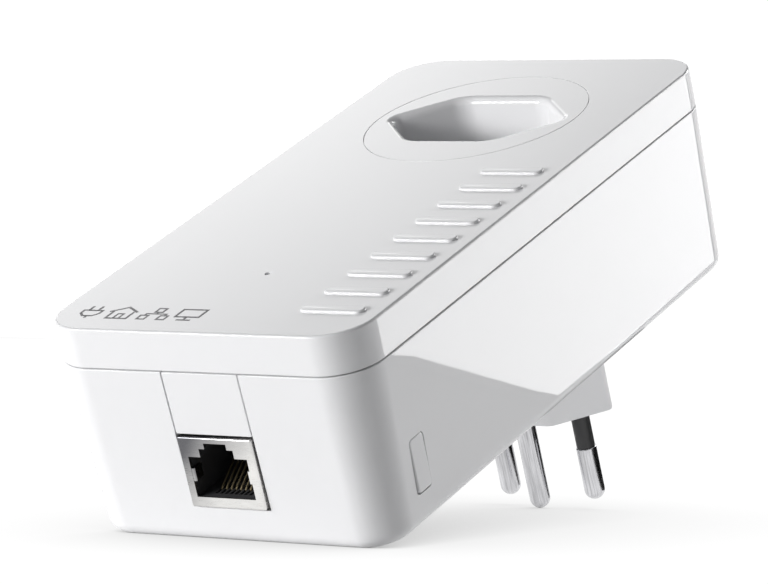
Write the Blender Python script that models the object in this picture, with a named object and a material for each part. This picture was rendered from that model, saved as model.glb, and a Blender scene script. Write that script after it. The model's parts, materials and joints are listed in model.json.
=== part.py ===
"""Wall-plug powerline network adapter with a pass-through mains socket.

Every size is in millimetres in the adapter's own frame: x across, y from the network-port end to the
socket end, z from the back cover (0) to the front face. The empty "adapter" carries that frame. It is
leaned about X until the adapter rests on a table, on the back edge of its network-port end and on the
tip of its earth pin, with the scene's origin under the middle of it.
"""

import math

import bmesh
import bpy
from mathutils import Matrix, Vector

# ---------------------------------------------------------------- driving dimensions (millimetres)
WIDTH, LENGTH, DEPTH = 66.0, 131.0, 40.9
SEAM_Z, SEAM_GAP = 33.3, 0.3  # front cover meets rear housing
CORNER_R, WALL, TOP_EDGE_R, BACK_EDGE_R = 8.9, 2.0, 0.9, 2.7
DRAFT_SIDE, DRAFT_NEAR, DRAFT_FAR = 1.33, 0.9, 0.7  # how far each wall leans in at the back

SOCKET_Y = 99.8  # plug and pass-through socket share this axis
POLE_X, EARTH_OFFSET = 9.5, 5.0  # line and neutral pins, and the earth pin nearer the port end
SOCKET_R, SOCKET_DEPTH = 21.6, 12.2
WELL_TIP, WELL_FLAT, WELL_SIDE = 17.4, 9.2, 8.5  # socket well: half tip-to-tip, flat-to-flat, flat
PLUG_TIP, PLUG_FLAT, PLUG_SIDE, PLUG_HEIGHT = 17.5, 9.0, 8.4, 18.8
PIN_R, PIN_LENGTH, SLEEVE_R, SLEEVE_LENGTH = 2.0, 19.2, 1.8, 8.0
PIN_INNER_Z, CONTACT_Z0 = 6.7, 7.2  # inner ends of the pins, and the contacts over them
SHUTTER_Z0, SHUTTER_T, SHUTTER_TRAVEL = 24.9, 1.5, 4.8

JACK_X, JACK_HALF, JACK_Z0, JACK_Z1, JACK_BACK = -0.1, 7.85, 7.45, 21.0, 21.0
JACK_OUT = 0.6  # how far the jack's face stands out of the housing
SLOT_HALF, FILLER_GAP = 8.15, 0.35  # slot in the housing for the jack and the filler above it
CONTACT_PITCH = 1.02  # between the jack's eight contacts

BUTTON_Y, BUTTON_Z, BUTTON_HALF_Y, BUTTON_HALF_Z = 13.6, 11.6, 2.2, 4.75
BUTTON_GAP = 0.25
LED_Y, PINHOLE_R = 25.7, 0.6

BOARD_Z0, BOARD_T, BOARD_HALF, BOARD_Y1 = 5.3, 1.6, 28.8, 86.0
ON_BOARD = BOARD_Z0 + BOARD_T + 0.3  # underside of what is soldered on
CASE_SCREWS = ((-24.2, 7.4), (24.2, 7.4), (-24.2, 123.4), (24.2, 123.4))
BOARD_SCREWS = ((-24.5, 20.0), (24.5, 45.0))

RIBS, RIB_X, RIB_Y0, RIB_PITCH, RIB_LENGTH, RIB_WIDTH, RIB_HEIGHT = 9, 23.0, 11.0, 7.8, 13.0, 2.6, 0.5
LABEL_HALF, LABEL_Y0, LABEL_Y1, LABEL_DEPTH = 22.0, 38.0, 68.0, 0.5
LIP_DROP, LIP_T = 1.8, 1.0  # the cover's lip inside the housing
GAP = 0.3  # clearance between neighbouring pieces

# ---------------------------------------------------------------- materials
COLOURS = {  # base colour, roughness, metallic
    "white_gloss": ((0.86, 0.86, 0.87), 0.16, 0.0),
    "white_satin": ((0.84, 0.84, 0.85), 0.32, 0.0),
    "grey_plastic": ((0.35, 0.36, 0.37), 0.5, 0.0),
    "black_plastic": ((0.02, 0.02, 0.022), 0.45, 0.0),
    "nickel": ((0.72, 0.71, 0.70), 0.25, 1.0),
    "tin_plate": ((0.62, 0.63, 0.65), 0.3, 1.0),
    "brass": ((0.75, 0.56, 0.24), 0.3, 1.0),
    "gold": ((0.83, 0.62, 0.25), 0.25, 1.0),
    "steel": ((0.55, 0.55, 0.56), 0.35, 1.0),
    "board_green": ((0.02, 0.16, 0.07), 0.45, 0.0),
    "aluminium": ((0.70, 0.71, 0.72), 0.4, 1.0),
    "ferrite": ((0.05, 0.05, 0.055), 0.6, 0.0),
    "yellow_tape": ((0.80, 0.58, 0.08), 0.5, 0.0),
    "clear": ((0.90, 0.93, 0.95), 0.1, 0.0),
    "blue_ceramic": ((0.05, 0.16, 0.45), 0.45, 0.0),
    "copper": ((0.75, 0.33, 0.16), 0.35, 1.0),
    "label_grey": ((0.70, 0.71, 0.72), 0.5, 0.0),
}


def material(name):
    found = bpy.data.materials.get(name)
    if found:
        return found
    colour, roughness, metallic = COLOURS[name]
    made = bpy.data.materials.new(name)
    made.use_nodes = True
    shader = made.node_tree.nodes["Principled BSDF"]
    shader.inputs["Base Color"].default_value = (*colour, 1)
    shader.inputs["Roughness"].default_value = roughness
    shader.inputs["Metallic"].default_value = metallic
    return made


# ---------------------------------------------------------------- outlines
def arc(cx, cy, r, start, end, steps):
    """Points from angle start to end (degrees), both included."""
    angles = [math.radians(start + (end - start) * i / steps) for i in range(steps + 1)]
    return [(cx + r * math.cos(a), cy + r * math.sin(a)) for a in angles]


def rounded_rect(x0, x1, y0, y1, r, steps=6):
    r = max(r, 0.05)
    return (
        arc(x1 - r, y1 - r, r, 0, 90, steps)
        + arc(x0 + r, y1 - r, r, 90, 180, steps)
        + arc(x0 + r, y0 + r, r, 180, 270, steps)
        + arc(x1 - r, y0 + r, r, 270, 360, steps)
    )


def rounded_polygon(points, radii, steps=3):
    """A convex polygon, counter-clockwise, with each corner rounded to its own radius."""
    out = []
    for i, (corner, r) in enumerate(zip(points, radii)):
        here = Vector(corner)
        to_last = (Vector(points[i - 1]) - here).normalized()
        to_next = (Vector(points[(i + 1) % len(points)]) - here).normalized()
        half = to_last.angle(to_next) / 2
        centre = here + (to_last + to_next).normalized() * (r / math.sin(half))
        turn = 180 - 2 * math.degrees(half)
        first = here + to_last * (r / math.tan(half)) - centre
        start = math.degrees(math.atan2(first.y, first.x))
        out += arc(centre.x, centre.y, r, start, start + turn, steps)
    return out


def hexagon(tip, flat, side, grow=0.0, r=1.0, wide=2.5):
    """The plug's long hexagon about the socket axis, grown outwards by grow. Its two tips are rounded to
    radius r and its four blunt corners to radius wide."""
    slope = math.atan2(flat, tip - side)  # angle of the slanted edge
    tip += grow / math.sin(slope)
    side += grow * math.tan(slope / 2)
    flat += grow
    corners = ((tip, 0), (side, flat), (-side, flat), (-tip, 0), (-side, -flat), (side, -flat))
    return rounded_polygon([(x, y + SOCKET_Y) for x, y in corners], (r, wide, wide, r, wide, wide))


def circle(r, steps, x=0.0, y=0.0):
    return arc(x, y, r, 0, 360, steps)[:-1]


def at_z(points, z):
    """An outline at height z, or a ring moved there."""
    return [(point[0], point[1], z) for point in points]


def wall_inset(z):
    """How far the housing's drafted, round-edged wall has come in at height z, as a share and a length."""
    lean = min(max((SEAM_Z - z) / (SEAM_Z - BACK_EDGE_R), 0), 1)
    below = max(BACK_EDGE_R - z, 0)
    return lean, BACK_EDGE_R - math.sqrt(max(BACK_EDGE_R**2 - below**2, 0))


def shell(z, offset=0.0):
    """The outer outline of the case at height z, moved in by offset."""
    lean, edge = wall_inset(z)
    inward = offset + edge
    return at_z(
        rounded_rect(
            -WIDTH / 2 + DRAFT_SIDE * lean + inward,
            WIDTH / 2 - DRAFT_SIDE * lean - inward,
            DRAFT_NEAR * lean + inward,
            LENGTH - DRAFT_FAR * lean - inward,
            CORNER_R - DRAFT_SIDE * lean - inward,
        ),
        z,
    )


# ---------------------------------------------------------------- solids
def loft(rings, ring_shaped=False):
    """A solid through rings of equally many points, capped at its ends or closed on itself."""
    bm = bmesh.new()
    loops = [[bm.verts.new(point) for point in ring] for ring in rings]
    pairs = list(zip(loops, loops[1:] + loops[:1]))
    for low, high in pairs if ring_shaped else pairs[:-1]:
        for i in range(len(low)):
            j = (i + 1) % len(low)
            bm.faces.new((low[i], low[j], high[j], high[i]))
    if not ring_shaped:
        bm.faces.new(loops[0])
        bm.faces.new(loops[-1])
    return bm


def prism(points, z0, z1):
    """A flat outline extruded from z0 to z1."""
    return loft([at_z(points, z0), at_z(points, z1)])


def side_prism(points, x0, x1):
    """An outline in the y-z plane extruded from x0 to x1."""
    return loft([[(x, y, z) for y, z in points] for x in (x0, x1)])


def box(low, high):
    bm = bmesh.new()
    low, high = Vector(low), Vector(high)
    size = Matrix.Diagonal((high - low).to_4d())
    bmesh.ops.create_cube(bm, size=1, matrix=Matrix.Translation((low + high) / 2) @ size)
    return bm


def turned(profile, steps, x=0.0, y=0.0, ring_shaped=False):
    """A body turned about a line along z: profile is (radius, z) from one end to the other."""
    return loft([at_z(circle(r, steps, x, y), z) for r, z in profile], ring_shaped)


def turn_to(bm, axis, centre):
    """Swings a body made along z at the origin so that it lies along axis, and moves it to centre."""
    swing = Vector((0, 0, 1)).rotation_difference(Vector(axis)).to_matrix().to_4x4()
    bmesh.ops.transform(bm, matrix=Matrix.Translation(centre) @ swing, verts=bm.verts)
    return bm


def joined(*parts):
    """Several closed shapes in one mesh, for use as a cutter."""
    whole = bmesh.new()
    for bm in parts:
        loose = bpy.data.meshes.new("loose")
        bm.to_mesh(loose)
        bm.free()
        whole.from_mesh(loose)
        bpy.data.meshes.remove(loose)
    return whole


# ---------------------------------------------------------------- objects
def clear_scene():
    for obj in list(bpy.data.objects):
        bpy.data.objects.remove(obj, do_unlink=True)


def finish(name, bm, colour=None, origin=(0, 0, 0), smooth=35, bevel=0.0):
    """An object from a body in millimetres, with its origin at the given point, on the adapter's empty."""
    origin = Vector(origin)
    bmesh.ops.translate(bm, vec=-origin, verts=bm.verts)
    bmesh.ops.scale(bm, vec=(0.001, 0.001, 0.001), verts=bm.verts)
    bmesh.ops.recalc_face_normals(bm, faces=bm.faces)
    mesh = bpy.data.meshes.new(name)
    bm.to_mesh(mesh)
    bm.free()
    mesh.shade_smooth()
    mesh.set_sharp_from_angle(angle=math.radians(smooth))
    obj = bpy.data.objects.new(name, mesh)
    bpy.context.scene.collection.objects.link(obj)
    obj.parent = bpy.data.objects["adapter"]
    obj.location = origin * 0.001
    if colour:
        mesh.materials.append(material(colour))
    if bevel:
        edge = obj.modifiers.new("edges", "BEVEL")
        edge.width, edge.segments, edge.limit_method = bevel * 0.001, 1, "ANGLE"
        edge.use_clamp_overlap = True
    return obj


def boolean(obj, operation, name, bm):
    """Cuts the body from obj, or joins it on, with a hidden helper object."""
    helper = finish(name, bm)
    helper.hide_render = True
    helper.display_type = "WIRE"
    modifier = obj.modifiers.new(name, "BOOLEAN")
    modifier.operation, modifier.solver, modifier.object = operation, "EXACT", helper
    modifier.use_self = True  # a helper may hold shapes that overlap


def cut(obj, name, bm):
    boolean(obj, "DIFFERENCE", name, bm)


def join(obj, name, bm):
    boolean(obj, "UNION", name, bm)


# ---------------------------------------------------------------- case
def edge_heights():
    """Heights that follow the rounded back edge."""
    return [BACK_EDGE_R * (1 - math.cos(math.radians(a))) for a in (0, 30, 60, 90)]


def make_housing():
    rim = SEAM_Z - SEAM_GAP / 2
    outer = [shell(z) for z in edge_heights()] + [shell(rim)]
    inner = [shell(rim, WALL), shell(WALL + 3, WALL), at_z(shell(WALL + 3, WALL + 1.5), WALL)]
    housing = finish("rear_housing", loft(outer + inner), "white_gloss")
    posts = [turned(((3.1, WALL - 0.5), (3.1, 8.0)), 20, x, y) for x, y in CASE_SCREWS]
    posts += [turned(((2.6, WALL - 0.5), (2.6, BOARD_Z0 - GAP)), 16, x, y) for x, y in BOARD_SCREWS]
    join(housing, "housing_posts", joined(*posts))
    well = [(2.9, -1), (2.9, 2.6), (1.75, 2.6), (1.75, 9)]
    holes = [turned(well, 20, x, y) for x, y in CASE_SCREWS]
    holes += [turned(((1.1, 2.9), (1.1, 9)), 12, x, y) for x, y in BOARD_SCREWS]
    cut(housing, "housing_screw_holes", joined(*holes))
    cut(housing, "plug_hole", prism(hexagon(PLUG_TIP, PLUG_FLAT, PLUG_SIDE, GAP), -1, WALL + 1))
    slot = box((-SLOT_HALF, -5, JACK_Z0 - GAP), (SLOT_HALF, 6, SEAM_Z + 5))
    cut(housing, "port_slot", slot)
    opening = rounded_rect(
        BUTTON_Y - BUTTON_HALF_Y - BUTTON_GAP,
        BUTTON_Y + BUTTON_HALF_Y + BUTTON_GAP,
        BUTTON_Z - BUTTON_HALF_Z - BUTTON_GAP,
        BUTTON_Z + BUTTON_HALF_Z + BUTTON_GAP,
        1.3 + BUTTON_GAP,
        4,
    )
    cut(housing, "button_hole", side_prism(opening, 24, 40))
    label = prism(rounded_rect(-LABEL_HALF, LABEL_HALF, LABEL_Y0, LABEL_Y1, 2, 2), -1, LABEL_DEPTH)
    cut(housing, "label_recess", label)


def make_cover():
    low, high = SEAM_Z + SEAM_GAP / 2, DEPTH - WALL
    lip_z, lip_out, lip_in = SEAM_Z - LIP_DROP, WALL + GAP, WALL + GAP + LIP_T
    rings = [shell(DEPTH - TOP_EDGE_R * (1 - math.sin(a)), TOP_EDGE_R * (1 - math.cos(a)))
             for a in map(math.radians, (90, 60, 30, 0))]
    # down the rim, in to the lip that drops inside the housing, and up to the inside of the lid
    rings += [shell(low), shell(low, lip_out), shell(lip_z, lip_out), shell(lip_z, lip_in), shell(high, lip_in)]
    cover = finish("front_cover", loft(rings), "white_satin")
    ribs = []
    for i in range(RIBS):
        y = RIB_Y0 + i * RIB_PITCH
        ends = (RIB_X - RIB_LENGTH / 2, RIB_X + RIB_LENGTH / 2)
        lower = rounded_rect(*ends, y - RIB_WIDTH / 2, y + RIB_WIDTH / 2, RIB_WIDTH / 2, 3)
        upper = rounded_rect(ends[0] + 0.3, ends[1] - 0.3, y - RIB_WIDTH / 2 + 0.3,
                             y + RIB_WIDTH / 2 - 0.3, RIB_WIDTH / 2 - 0.3, 3)
        ribs.append(loft([at_z(lower, DEPTH - 0.5), at_z(lower, DEPTH + RIB_HEIGHT - 0.3),
                          at_z(upper, DEPTH + RIB_HEIGHT)]))
    join(cover, "cover_ribs", joined(*ribs))
    posts = [turned(((2.8, 8.3), (2.8, high + 0.5)), 20, x, y) for x, y in CASE_SCREWS]
    posts.append(turned(((2.6, 33.0), (2.6, high + 0.5)), 16, 0, LED_Y))
    join(cover, "cover_posts", joined(*posts))
    holes = [turned(((1.75, 7), (1.75, 20)), 16, x, y) for x, y in CASE_SCREWS]
    holes.append(turned(((1.5, 30), (1.5, high), (PINHOLE_R, high), (PINHOLE_R, 43)), 16, 0, LED_Y))
    cut(cover, "cover_holes", joined(*holes))
    cut(cover, "socket_hole", turned(((SOCKET_R + 0.25, 30), (SOCKET_R + 0.25, 45)), 56, 0, SOCKET_Y))


def make_filler():
    """The blank panel between the jack and the seam, in line with the housing's drafted wall."""
    z0, z1 = JACK_Z1 + FILLER_GAP, SEAM_Z - SEAM_GAP / 2
    outline = [(DRAFT_NEAR * wall_inset(z)[0], z) for z in (z0, z1)]
    outline += [(DRAFT_NEAR * wall_inset(z1)[0] + 1.9, z1), (2.5, z0)]
    finish("port_filler", side_prism(outline, -SLOT_HALF + 0.2, SLOT_HALF - 0.2), "white_gloss")


def make_screws():
    for i, (x, y) in enumerate(CASE_SCREWS, 1):
        profile = ((2.5, 0.4), (2.7, 0.7), (2.7, 2.3), (1.45, 2.3), (1.45, 17.0), (0.5, 18.5))
        screw = finish(f"case_screw_{i}", turned(profile, 16, x, y), "steel", (x, y, 0))
        cut(screw, f"case_screw_slot_{i}", turned(((1.1, -1), (1.1, 1.6)), 6, x, y))
    top = BOARD_Z0 + BOARD_T + GAP
    for i, (x, y) in enumerate(BOARD_SCREWS, 1):
        profile = ((0.85, 3.2), (0.85, top), (2.2, top), (2.2, top + 1.2), (1.7, top + 1.6))
        screw = finish(f"board_screw_{i}", turned(profile, 14, x, y), "steel", (x, y, top))
        cut(screw, f"board_screw_slot_{i}", box((x - 3, y - 0.3, top + 0.9), (x + 3, y + 0.3, top + 2)))


# ---------------------------------------------------------------- socket and plug
def make_socket_insert():
    floor = DEPTH - SOCKET_DEPTH
    insert = finish("socket_insert", turned(((SOCKET_R, DEPTH - 2.2), (SOCKET_R, DEPTH)), 56, 0, SOCKET_Y),
                    "white_satin", (0, SOCKET_Y, DEPTH))
    well = [(1.8, floor - 1.6), (2.6, DEPTH - 1.5)]
    join(insert, "well_wall", loft([at_z(hexagon(WELL_TIP, WELL_FLAT, WELL_SIDE, d, 2.6), z) for d, z in well]))
    flare = [(0.0, floor), (0.8, DEPTH - 2.1)]
    flare += [(0.8 + 1.9 * (1 - math.cos(math.radians(a))), DEPTH - 2.1 + 2.1 * math.sin(math.radians(a)))
              for a in (30, 60, 90)]
    flare.append((2.7, DEPTH + 1))
    rings = [at_z(hexagon(WELL_TIP, WELL_FLAT, WELL_SIDE, d, 1.0 + d, 5.0 + d), z) for d, z in flare]
    cut(insert, "well", loft(rings))
    cone = ((2.4, floor - 3), (2.4, floor - 0.6), (3.1, floor + 0.1), (3.1, floor + 2))
    cut(insert, "well_holes", joined(*[turned(cone, 20, x, y) for x, y in poles().values()]))


def poles():
    return {
        "line": (-POLE_X, SOCKET_Y),
        "neutral": (POLE_X, SOCKET_Y),
        "earth": (0.0, SOCKET_Y - EARTH_OFFSET),
    }


def make_shutter():
    """A plate under the well that blocks the line and neutral holes until it slides towards the far end."""
    y = SOCKET_Y
    plate = finish("socket_shutter", prism(rounded_rect(-14.5, 14.5, y - 13, y + 5, 1.5, 3),
                                           SHUTTER_Z0, SHUTTER_Z0 + SHUTTER_T),
                   "grey_plastic", (0, y, SHUTTER_Z0))
    join(plate, "shutter_tab", box((-2.6, y + 4, SHUTTER_Z0), (2.6, y + 5.6, SHUTTER_Z0 + SHUTTER_T)))
    holes = [turned(((2.6, 20), (2.6, 30)), 20, x, y - SHUTTER_TRAVEL) for x in (-POLE_X, POLE_X)]
    earth = y - EARTH_OFFSET
    slot = rounded_rect(-2.6, 2.6, earth - SHUTTER_TRAVEL - 2.6, earth + 2.6, 2.6, 5)
    cut(plate, "shutter_holes", joined(*holes, prism(slot, 20, 30)))


def make_shutter_spring():
    """A coil between the shutter's tab and the window in the carrier's end wall."""
    turns, per_turn, radius, wire = 6, 12, 0.95, 0.19
    start, end = SOCKET_Y + 5.6 + 0.5, SOCKET_Y + 12.2
    curve = bpy.data.curves.new("shutter_spring", "CURVE")
    curve.dimensions, curve.bevel_depth, curve.bevel_resolution = "3D", wire * 0.001, 1
    curve.use_fill_caps = True
    spline = curve.splines.new("POLY")
    count = turns * per_turn + 1
    spline.points.add(count - 1)
    for i in range(count):
        angle = 2 * math.pi * i / per_turn
        along = (end - start) * i / (count - 1)
        spline.points[i].co = (radius * 0.001 * math.cos(angle), along * 0.001,
                               radius * 0.001 * math.sin(angle), 1)
    spring = bpy.data.objects.new("shutter_spring", curve)
    bpy.context.scene.collection.objects.link(spring)
    curve.materials.append(material("steel"))
    spring.parent = bpy.data.objects["adapter"]
    spring.location = Vector((0, start, SHUTTER_Z0 + SHUTTER_T / 2)) * 0.001


def make_carrier():
    """The insulating block between plug and socket, which holds the three contacts."""
    y, top = SOCKET_Y, SHUTTER_Z0 - GAP
    carrier = finish("contact_carrier", prism(rounded_rect(-18, 18, y - 14, y + 14, 3, 3), 4.7, top),
                     "grey_plastic", (0, y, 4.7))
    rails = [box((s * 16.3 - 1.4, y - 13, top - 1), (s * 16.3 + 1.4, y + 13.5, top + 2.1)) for s in (-1, 1)]
    rails.append(box((-16, y + 12, top - 1), (16, y + 13.5, top + 2.1)))
    join(carrier, "carrier_rails", joined(*rails))
    cut(carrier, "spring_window", box((-1.6, y + 5.8, top - 0.4), (1.6, y + 15, top + 3)))
    bores = [turned(((3.1, 3), (3.1, 30)), 20, x, py) for x, py in poles().values()]
    cut(carrier, "carrier_bores", joined(*bores))
    slots = [box((x - 1.6, y - 16, 6.8), (x + 1.6, py, 8.4)) for x, py in poles().values()]
    cut(carrier, "carrier_slots", joined(*slots))


def make_contact(name, x, y):
    """A sprung receptacle over a pin, with the tab that carries its current to the board."""
    top = SHUTTER_Z0 - 2 * GAP - 0.3
    z0 = CONTACT_Z0
    profile = ((2.75, z0), (2.75, top), (2.1, top), (2.1, z0 + 1))
    contact = finish(f"{name}_contact", turned(profile, 20, x, y), "brass", (x, y, z0))
    join(contact, f"{name}_tab", box((x - 1.2, 80.5, z0), (x + 1.2, y - 2.0, z0 + 0.9)))
    slits = [box((x - 4, y - 0.4, 12), (x + 4, y + 0.4, 30)), box((x - 0.4, y - 4, 12), (x + 0.4, y + 4, 30))]
    cut(contact, f"{name}_slits", joined(*slits))


def dome(radius, tip):
    """The rounded end of a pin, from its tip up to its full radius."""
    return [(radius * math.sin(math.radians(a)), tip + radius * (1 - math.cos(math.radians(a))))
            for a in (12, 36, 62, 90)]


def make_plug():
    body = finish("plug_body", prism(hexagon(PLUG_TIP, PLUG_FLAT, PLUG_SIDE, 0, 1.2), -PLUG_HEIGHT, 3.0),
                  "white_gloss", (0, SOCKET_Y, -PLUG_HEIGHT))
    flange = prism(hexagon(PLUG_TIP, PLUG_FLAT, PLUG_SIDE, 2.0, 2.5), WALL + GAP, 4.4)
    join(body, "plug_flange", flange)
    bores = {"line": SLEEVE_R + 0.15, "neutral": SLEEVE_R + 0.15, "earth": PIN_R + 0.15}
    cut(body, "plug_bores", joined(*[turned(((bores[n], -30), (bores[n], 10)), 20, x, y)
                                     for n, (x, y) in poles().items()]))
    tip, shoulder = -PLUG_HEIGHT - PIN_LENGTH, -PLUG_HEIGHT - SLEEVE_LENGTH
    for name, (x, y) in poles().items():
        if name == "earth":
            profile = dome(PIN_R, tip) + [(PIN_R, PIN_INNER_Z)]
        else:
            profile = dome(PIN_R, tip) + [(PIN_R, shoulder - 0.1), (1.2, shoulder - 0.1), (1.2, PIN_INNER_Z)]
            sleeve = ((SLEEVE_R, shoulder), (SLEEVE_R, 3.4), (1.4, 3.4), (1.4, shoulder))
            finish(f"{name}_sleeve", turned(sleeve, 20, x, y, ring_shaped=True), "black_plastic", (x, y, shoulder))
        finish(f"{name}_pin", turned(profile, 20, x, y), "nickel", (x, y, -PLUG_HEIGHT))


# ---------------------------------------------------------------- network jack
def jack_opening(grow=0.0):
    """The stepped opening for a plug and its latch, as (x, z), counter-clockwise from its lower left."""
    steps = ((6.2, 9.5), (6.2, 17.2), (3.6, 17.2), (3.6, 18.8), (2.35, 18.8), (2.35, 19.9))
    right = [(JACK_X + x + grow, z + (grow if i else -grow)) for i, (x, z) in enumerate(steps)]
    left = [(2 * JACK_X - x, z) for x, z in right]
    return right + left[::-1]


def along_y(points, y0, y1):
    """A closed outline in the x-z plane extruded from y0 to y1."""
    return loft([[(x, y, z) for x, z in points] for y in (y0, y1)])


def make_jack():
    face = DRAFT_NEAR * wall_inset((JACK_Z0 + JACK_Z1) / 2)[0] - JACK_OUT
    low, high = (JACK_X - JACK_HALF, face, JACK_Z0), (JACK_X + JACK_HALF, JACK_BACK, JACK_Z1)
    shield = finish("jack_shield", box(low, high), "tin_plate", (JACK_X, face, JACK_Z0), bevel=0.35)
    inside = box((low[0] + 0.4, face + 0.4, ON_BOARD - 2), (high[0] - 0.4, JACK_BACK - 0.4, JACK_Z1 - 0.4))
    cut(shield, "shield_inside", inside)
    cut(shield, "shield_opening", along_y(jack_opening(), face - 2, face + 2))
    core = box((low[0] + 0.65, face + 0.65, JACK_Z0 + 0.3), (high[0] - 0.65, JACK_BACK - 0.65, JACK_Z1 - 0.65))
    insert = finish("jack_insert", core, "black_plastic", (JACK_X, face, JACK_Z0))
    cut(insert, "jack_cavity", along_y(jack_opening(0.15), face - 2, face + 14))
    slits = []
    for i in range(8):
        x = JACK_X + (i - 3.5) * CONTACT_PITCH
        slits.append(box((x - 0.36, face + 2.0, 8.5), (x + 0.36, face + 14.6, 9.6)))
        slits.append(box((x - 0.36, face + 11.5, 8.5), (x + 0.36, face + 14.6, 16.0)))
        # a sprung wire: along the floor, then up and back over the cavity
        y0 = face + 2.4
        wire = [(y0, 9.0), (y0 + 0.5, 8.75), (y0 + 11.9, 8.75), (y0 + 11.9, 9.1), (y0 + 0.8, 9.1),
                (y0 + 11.0, 14.6), (y0 + 10.8, 14.95)]
        finish(f"jack_contact_{i + 1}", side_prism(wire, x - 0.17, x + 0.17), "gold", (x, y0, 9.0))
    cut(insert, "jack_slits", joined(*slits))


# ---------------------------------------------------------------- button, switch and lamp
def make_button():
    """The side button, which slides in along X and presses the switch's plunger."""
    def section(half_y, half_z, r, x):
        points = rounded_rect(BUTTON_Y - half_y, BUTTON_Y + half_y, BUTTON_Z - half_z, BUTTON_Z + half_z, r, 4)
        return [(x(z) if callable(x) else x, y, z) for y, z in points]

    def surface(z):
        return WIDTH / 2 - DRAFT_SIDE * wall_inset(z)[0]

    cap = loft([
        section(BUTTON_HALF_Y, BUTTON_HALF_Z, 1.3, 28.6),
        section(BUTTON_HALF_Y, BUTTON_HALF_Z, 1.3, lambda z: surface(z) - 0.15),
        section(BUTTON_HALF_Y - 0.3, BUTTON_HALF_Z - 0.3, 1.0, lambda z: surface(z) + 0.1),
    ])
    button = finish("side_button", cap, "white_gloss", (33, BUTTON_Y, BUTTON_Z))
    join(button, "button_flange", loft([section(3.0, 5.2, 1.5, 28.0), section(3.0, 5.2, 1.5, 29.3)]))
    stem = turn_to(turned(((1.5, 0), (1.5, 4.9)), 12), (1, 0, 0), (23.5, BUTTON_Y, BUTTON_Z - 1.0))
    join(button, "button_stem", stem)
    switch = box((17.2, BUTTON_Y - 3, ON_BOARD), (21.2, BUTTON_Y + 3, ON_BOARD + 6.2))
    body = finish("switch_body", switch, "black_plastic", (19, BUTTON_Y, ON_BOARD), bevel=0.3)
    well = turn_to(turned(((1.9, 0), (1.9, 3)), 14), (1, 0, 0), (19.6, BUTTON_Y, BUTTON_Z - 1.0))
    cut(body, "switch_well", well)
    plunger = turn_to(turned(((1.6, 0), (1.6, 2.2), (1.3, 2.5)), 14), (1, 0, 0), (20.7, BUTTON_Y, BUTTON_Z - 1.0))
    finish("switch_plunger", plunger, "grey_plastic", (20.7, BUTTON_Y, BUTTON_Z - 1.0))


def make_lamp():
    finish("status_led", box((-0.8, LED_Y - 0.8, ON_BOARD), (0.8, LED_Y + 0.8, ON_BOARD + 0.9)),
           "clear", (0, LED_Y, ON_BOARD))
    pipe = ((1.2, ON_BOARD + 1.2), (1.2, DEPTH - WALL - 0.3), (0.42, DEPTH - WALL + 0.1), (0.42, DEPTH - 0.25))
    finish("light_pipe", turned(pipe, 14, 0, LED_Y), "clear", (0, LED_Y, ON_BOARD + 1.2))


# ---------------------------------------------------------------- board
def make_board():
    z0, z1 = BOARD_Z0, BOARD_Z0 + BOARD_T
    board = finish("main_board", box((-BOARD_HALF, 3.4, z0), (BOARD_HALF, BOARD_Y1 - 0.8, z1)),
                   "board_green", (0, 3.4, z0))
    notches = [box((s * 30 - 9.6, 0, 0), (s * 30 + 9.6, 11.2, 9)) for s in (-1, 1)]
    notches.append(box((22.6, 0, 0), (40, 18.0, 9)))
    notches += [turned(((1.4, 0), (1.4, 9)), 12, x, y) for x, y in BOARD_SCREWS]
    cut(board, "board_notches", joined(*notches))


def on_board(name, colour, x, y, size_x, size_y, height, z=0.0, bevel=0.0):
    base = ON_BOARD + z
    low = (x - size_x / 2, y - size_y / 2, base)
    high = (x + size_x / 2, y + size_y / 2, base + height)
    return finish(name, box(low, high), colour, (x, y, base), bevel=bevel)


def standing(name, colour, x, y, r, height, steps=20):
    """An upright can with rounded ends."""
    base = ON_BOARD
    profile = ((r - 0.5, base), (r, base + 0.5), (r, base + height - 0.6), (r - 0.6, base + height))
    return finish(name, turned(profile, steps, x, y), colour, (x, y, base))


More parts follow.
